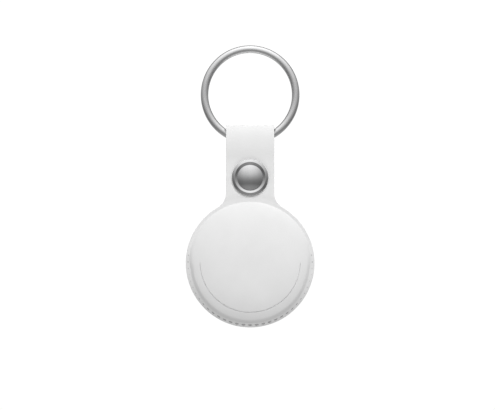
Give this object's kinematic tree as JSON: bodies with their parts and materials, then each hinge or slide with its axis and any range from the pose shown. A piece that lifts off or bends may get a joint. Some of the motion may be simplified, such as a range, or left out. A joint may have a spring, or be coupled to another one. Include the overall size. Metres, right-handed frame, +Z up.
{
  "type": "wireless tracker tag",
  "caption": "Round tracker tag in a stitched white leather key fob: a press-stud strap loops over a steel split ring, and a steel battery cover twists off behind.",
  "frame": {"origin": "inner top of the split ring, the point where the fob hangs", "axes": "+Z up along the strap, +Y out of the back, so that the front with the press-stud cap faces -Y; +X to the right in the front view"},
  "size_m": [0.0406, 0.0101, 0.0893],
  "materials": {
    "ring_steel": "polished",
    "white_leather": "fine grain, matt",
    "lining_cloth": "short nap",
    "white_thread": "waxed thread",
    "snap_steel": "polished",
    "white_plastic": "gloss",
    "tray_plastic": "satin",
    "cover_steel": "polished",
    "seal_rubber": "matt",
    "cell_can": "satin nickel plate",
    "speaker_steel": "plated",
    "copper": "bright copper",
    "board": "solder mask",
    "chip": "moulded epoxy",
    "contact": "gold flash"
  },
  "bodies": {
    "ring": {"split_ring": "ring_steel"},
    "holder": {"front_leather": "white_leather", "back_leather": "white_leather", "front_lining": "lining_cloth", "back_lining": "lining_cloth", "front_thread": "white_thread", "back_thread": "white_thread", "snap_cap": "snap_steel", "snap_stud": "snap_steel"},
    "tail": {"strap_tail": "white_leather", "snap_socket": "snap_steel", "snap_spring": "snap_steel", "snap_back_cap": "snap_steel"},
    "tag": {"tag_shell": "white_plastic", "battery_tray": "tray_plastic", "cover_seal": "seal_rubber", "coin_cell": "cell_can", "speaker_magnet": "speaker_steel", "magnet_yoke": "speaker_steel", "speaker_coil": "copper", "antenna_ring": "copper", "circuit_board": "board", "rf_shield": "speaker_steel", "timing_crystal": "speaker_steel", "radio_chip": "chip", "memory_chip": "chip", "motion_sensor": "chip", "negative_contact": "contact", "positive_contact_left": "contact", "positive_contact_right": "contact"},
    "cover": {"battery_cover": "cover_steel"}
  },
  "joints": [
    {"name": "holder_swing", "type": "hinge", "parent": "ring", "child": "holder", "pos_m": [0, 0, -0.02649], "axis": [1, 0, 0], "range_deg": [-150, 150]},
    {"name": "tail_open", "type": "hinge", "parent": "holder", "child": "tail", "pos_m": [0, 0.00365, -0.02669], "axis": [1, 0, 0], "range_deg": [0, 110]},
    {"name": "tag_turn", "type": "hinge", "parent": "holder", "child": "tag", "pos_m": [0, -0.0008, -0.06655], "axis": [0, 1, 0], "continuous": true},
    {"name": "cover_twist", "type": "hinge", "parent": "tag", "child": "cover", "pos_m": [0, 0.0022, -0.06655], "axis": [0, 1, 0], "range_deg": [0, 20]}
  ]
}
